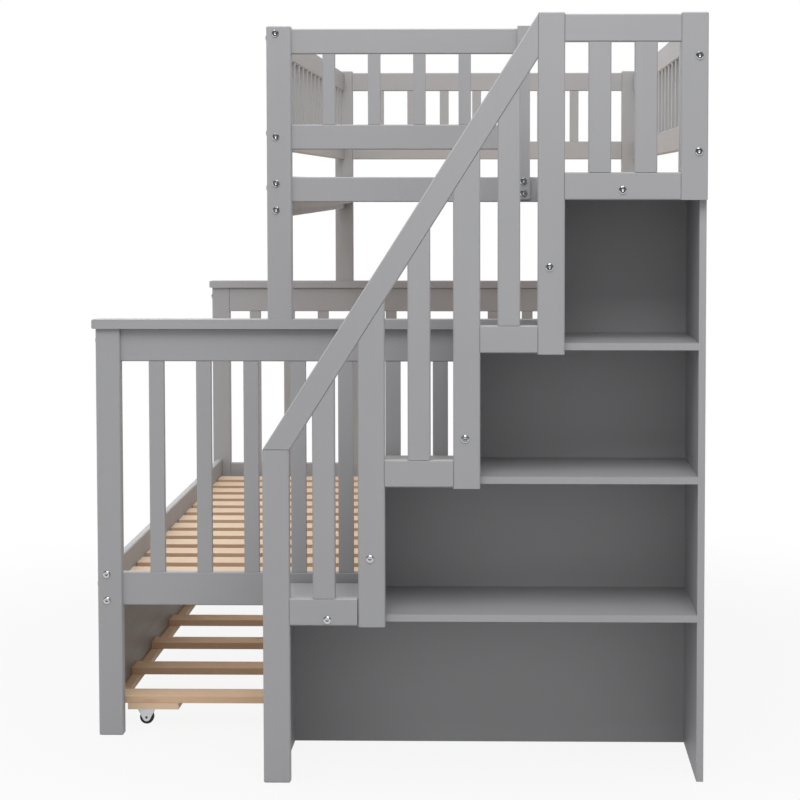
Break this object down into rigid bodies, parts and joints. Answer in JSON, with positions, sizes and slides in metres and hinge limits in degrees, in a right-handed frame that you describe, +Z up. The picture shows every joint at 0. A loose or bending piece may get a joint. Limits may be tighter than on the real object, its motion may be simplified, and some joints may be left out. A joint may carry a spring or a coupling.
{
  "type": "bunk bed with stairs",
  "caption": "Grey wooden bunk bed: narrow upper bunk over a wider lower bed, bookcase stair with a raked guard at one end, and a slatted trundle that rolls out from below.",
  "frame": {"origin": "on the floor, at the middle of the whole object's length and width", "axes": "+X towards the wall side, where the stair's closed side panel is; +Y from the stair end to the far end; +Z up"},
  "size_m": [1.478, 2.3694, 1.749],
  "materials": {
    "grey_wood": "satin grey paint on solid wood and board",
    "bare_slat": "bare planed pine",
    "trundle_wood": "bare planed pine",
    "steel": "zinc plated",
    "caster_wheel": "black rubber"
  },
  "bodies": {
    "bed_frame": {"barrel_nuts": "steel", "corner_post": "grey_wood", "entry_post": "grey_wood", "frame_bolts": "steel", "handrail": "grey_wood", "lower_balusters_far": "grey_wood", "lower_balusters_near": "grey_wood", "lower_cap_far": "grey_wood", "lower_cap_near": "grey_wood", "lower_centre_beam": "grey_wood", "lower_end_rails_far": "grey_wood", "lower_end_rails_near": "grey_wood", "lower_post_far_left": "grey_wood", "lower_post_far_right": "grey_wood", "lower_post_near_left": "grey_wood", "lower_post_near_right": "grey_wood", "lower_side_rail_left": "grey_wood", "lower_side_rail_right": "grey_wood", "lower_slats": "bare_slat", "newel_post": "grey_wood", "platform_guard_rails": "grey_wood", "platform_side_rails": "grey_wood", "side_guard_rails_left": "grey_wood", "side_guard_rails_right": "grey_wood", "side_guard_spindles_left": "grey_wood", "side_guard_spindles_right": "grey_wood", "slat_ledgers": "grey_wood", "stacking_pins": "steel", "stair_back_panels": "grey_wood", "stair_balusters": "grey_wood", "stair_platform": "grey_wood", "stair_posts": "grey_wood", "stair_risers": "grey_wood", "stair_side_panel": "grey_wood", "stair_treads": "grey_wood", "step_rails": "grey_wood", "upper_balusters_far": "grey_wood", "upper_balusters_near": "grey_wood", "upper_end_rail_far": "grey_wood", "upper_end_rail_near": "grey_wood", "upper_guard_rails_far": "grey_wood", "upper_guard_rails_near": "grey_wood", "upper_post_far_left": "grey_wood", "upper_post_far_right": "grey_wood", "upper_post_near_left": "grey_wood", "upper_post_near_right": "grey_wood", "upper_side_rail_left": "grey_wood", "upper_side_rail_right": "grey_wood", "upper_slats": "bare_slat"},
    "trundle": {"caster_axles": "steel", "caster_blocks": "trundle_wood", "caster_forks": "steel", "trundle_front_panel": "grey_wood", "trundle_side_rails": "trundle_wood", "trundle_slats": "trundle_wood"},
    "caster_wheel_far_left": {"caster_wheel_far_left": "caster_wheel"},
    "caster_wheel_far_right": {"caster_wheel_far_right": "caster_wheel"},
    "caster_wheel_near_left": {"caster_wheel_near_left": "caster_wheel"},
    "caster_wheel_near_right": {"caster_wheel_near_right": "caster_wheel"}
  },
  "joints": [
    {"name": "trundle_slide", "type": "slide", "parent": "bed_frame", "child": "trundle", "axis": [-1, 0, 0], "range_m": [0, 0.96]},
    {"name": "caster_wheel_far_left_spin", "type": "hinge", "parent": "trundle", "child": "caster_wheel_far_left", "pos_m": [-0.631, 1.06375, 0.0175], "axis": [0, 1, 0], "range_deg": [-3160, 10]},
    {"name": "caster_wheel_far_right_spin", "type": "hinge", "parent": "trundle", "child": "caster_wheel_far_right", "pos_m": [0.197, 1.06375, 0.0175], "axis": [0, 1, 0], "range_deg": [-3160, 10]},
    {"name": "caster_wheel_near_left_spin", "type": "hinge", "parent": "trundle", "child": "caster_wheel_near_left", "pos_m": [-0.631, -0.68225, 0.0175], "axis": [0, 1, 0], "range_deg": [-3160, 10]},
    {"name": "caster_wheel_near_right_spin", "type": "hinge", "parent": "trundle", "child": "caster_wheel_near_right", "pos_m": [0.197, -0.68225, 0.0175], "axis": [0, 1, 0], "range_deg": [-3160, 10]}
  ],
  "couplings": [
    {"joint": "caster_wheel_far_left_spin", "follows": "trundle_slide", "rad_per_m": -57.143},
    {"joint": "caster_wheel_far_right_spin", "follows": "trundle_slide", "rad_per_m": -57.143},
    {"joint": "caster_wheel_near_left_spin", "follows": "trundle_slide", "rad_per_m": -57.143},
    {"joint": "caster_wheel_near_right_spin", "follows": "trundle_slide", "rad_per_m": -57.143}
  ]
}
